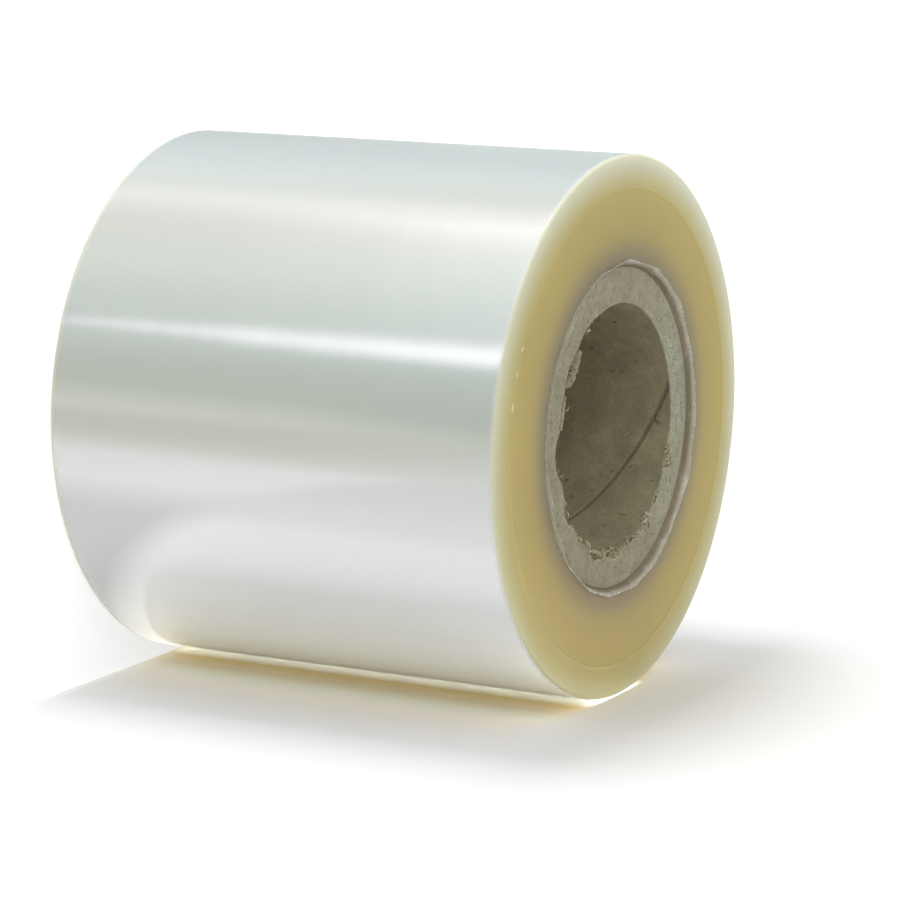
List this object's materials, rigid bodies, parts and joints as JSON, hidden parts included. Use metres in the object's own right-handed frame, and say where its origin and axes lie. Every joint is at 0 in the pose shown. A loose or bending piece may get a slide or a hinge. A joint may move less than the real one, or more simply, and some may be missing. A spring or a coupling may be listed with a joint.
{
  "type": "sealing film roll",
  "caption": "Wide roll of clear glossy sealing film wound on a thick spiral-wound paperboard tube with an open bore and a torn mouth at one end.",
  "frame": {"origin": "centre of the end that the roll stands on, on the roll's axis", "axes": "+Z along the roll's axis, up to the finished end with the torn tube mouth; -Y towards the side that the picture shows"},
  "size_m": [0.169, 0.1689, 0.1564],
  "materials": {
    "paperboard": "matt grey-brown spiral-wound paperboard, sawn and frayed at the mouth",
    "clear_film": "glossy clear film, silvery on the outside of the roll and amber on its ends"
  },
  "bodies": {
    "root": {"core": "paperboard", "film": "clear_film"}
  },
  "joints": []
}
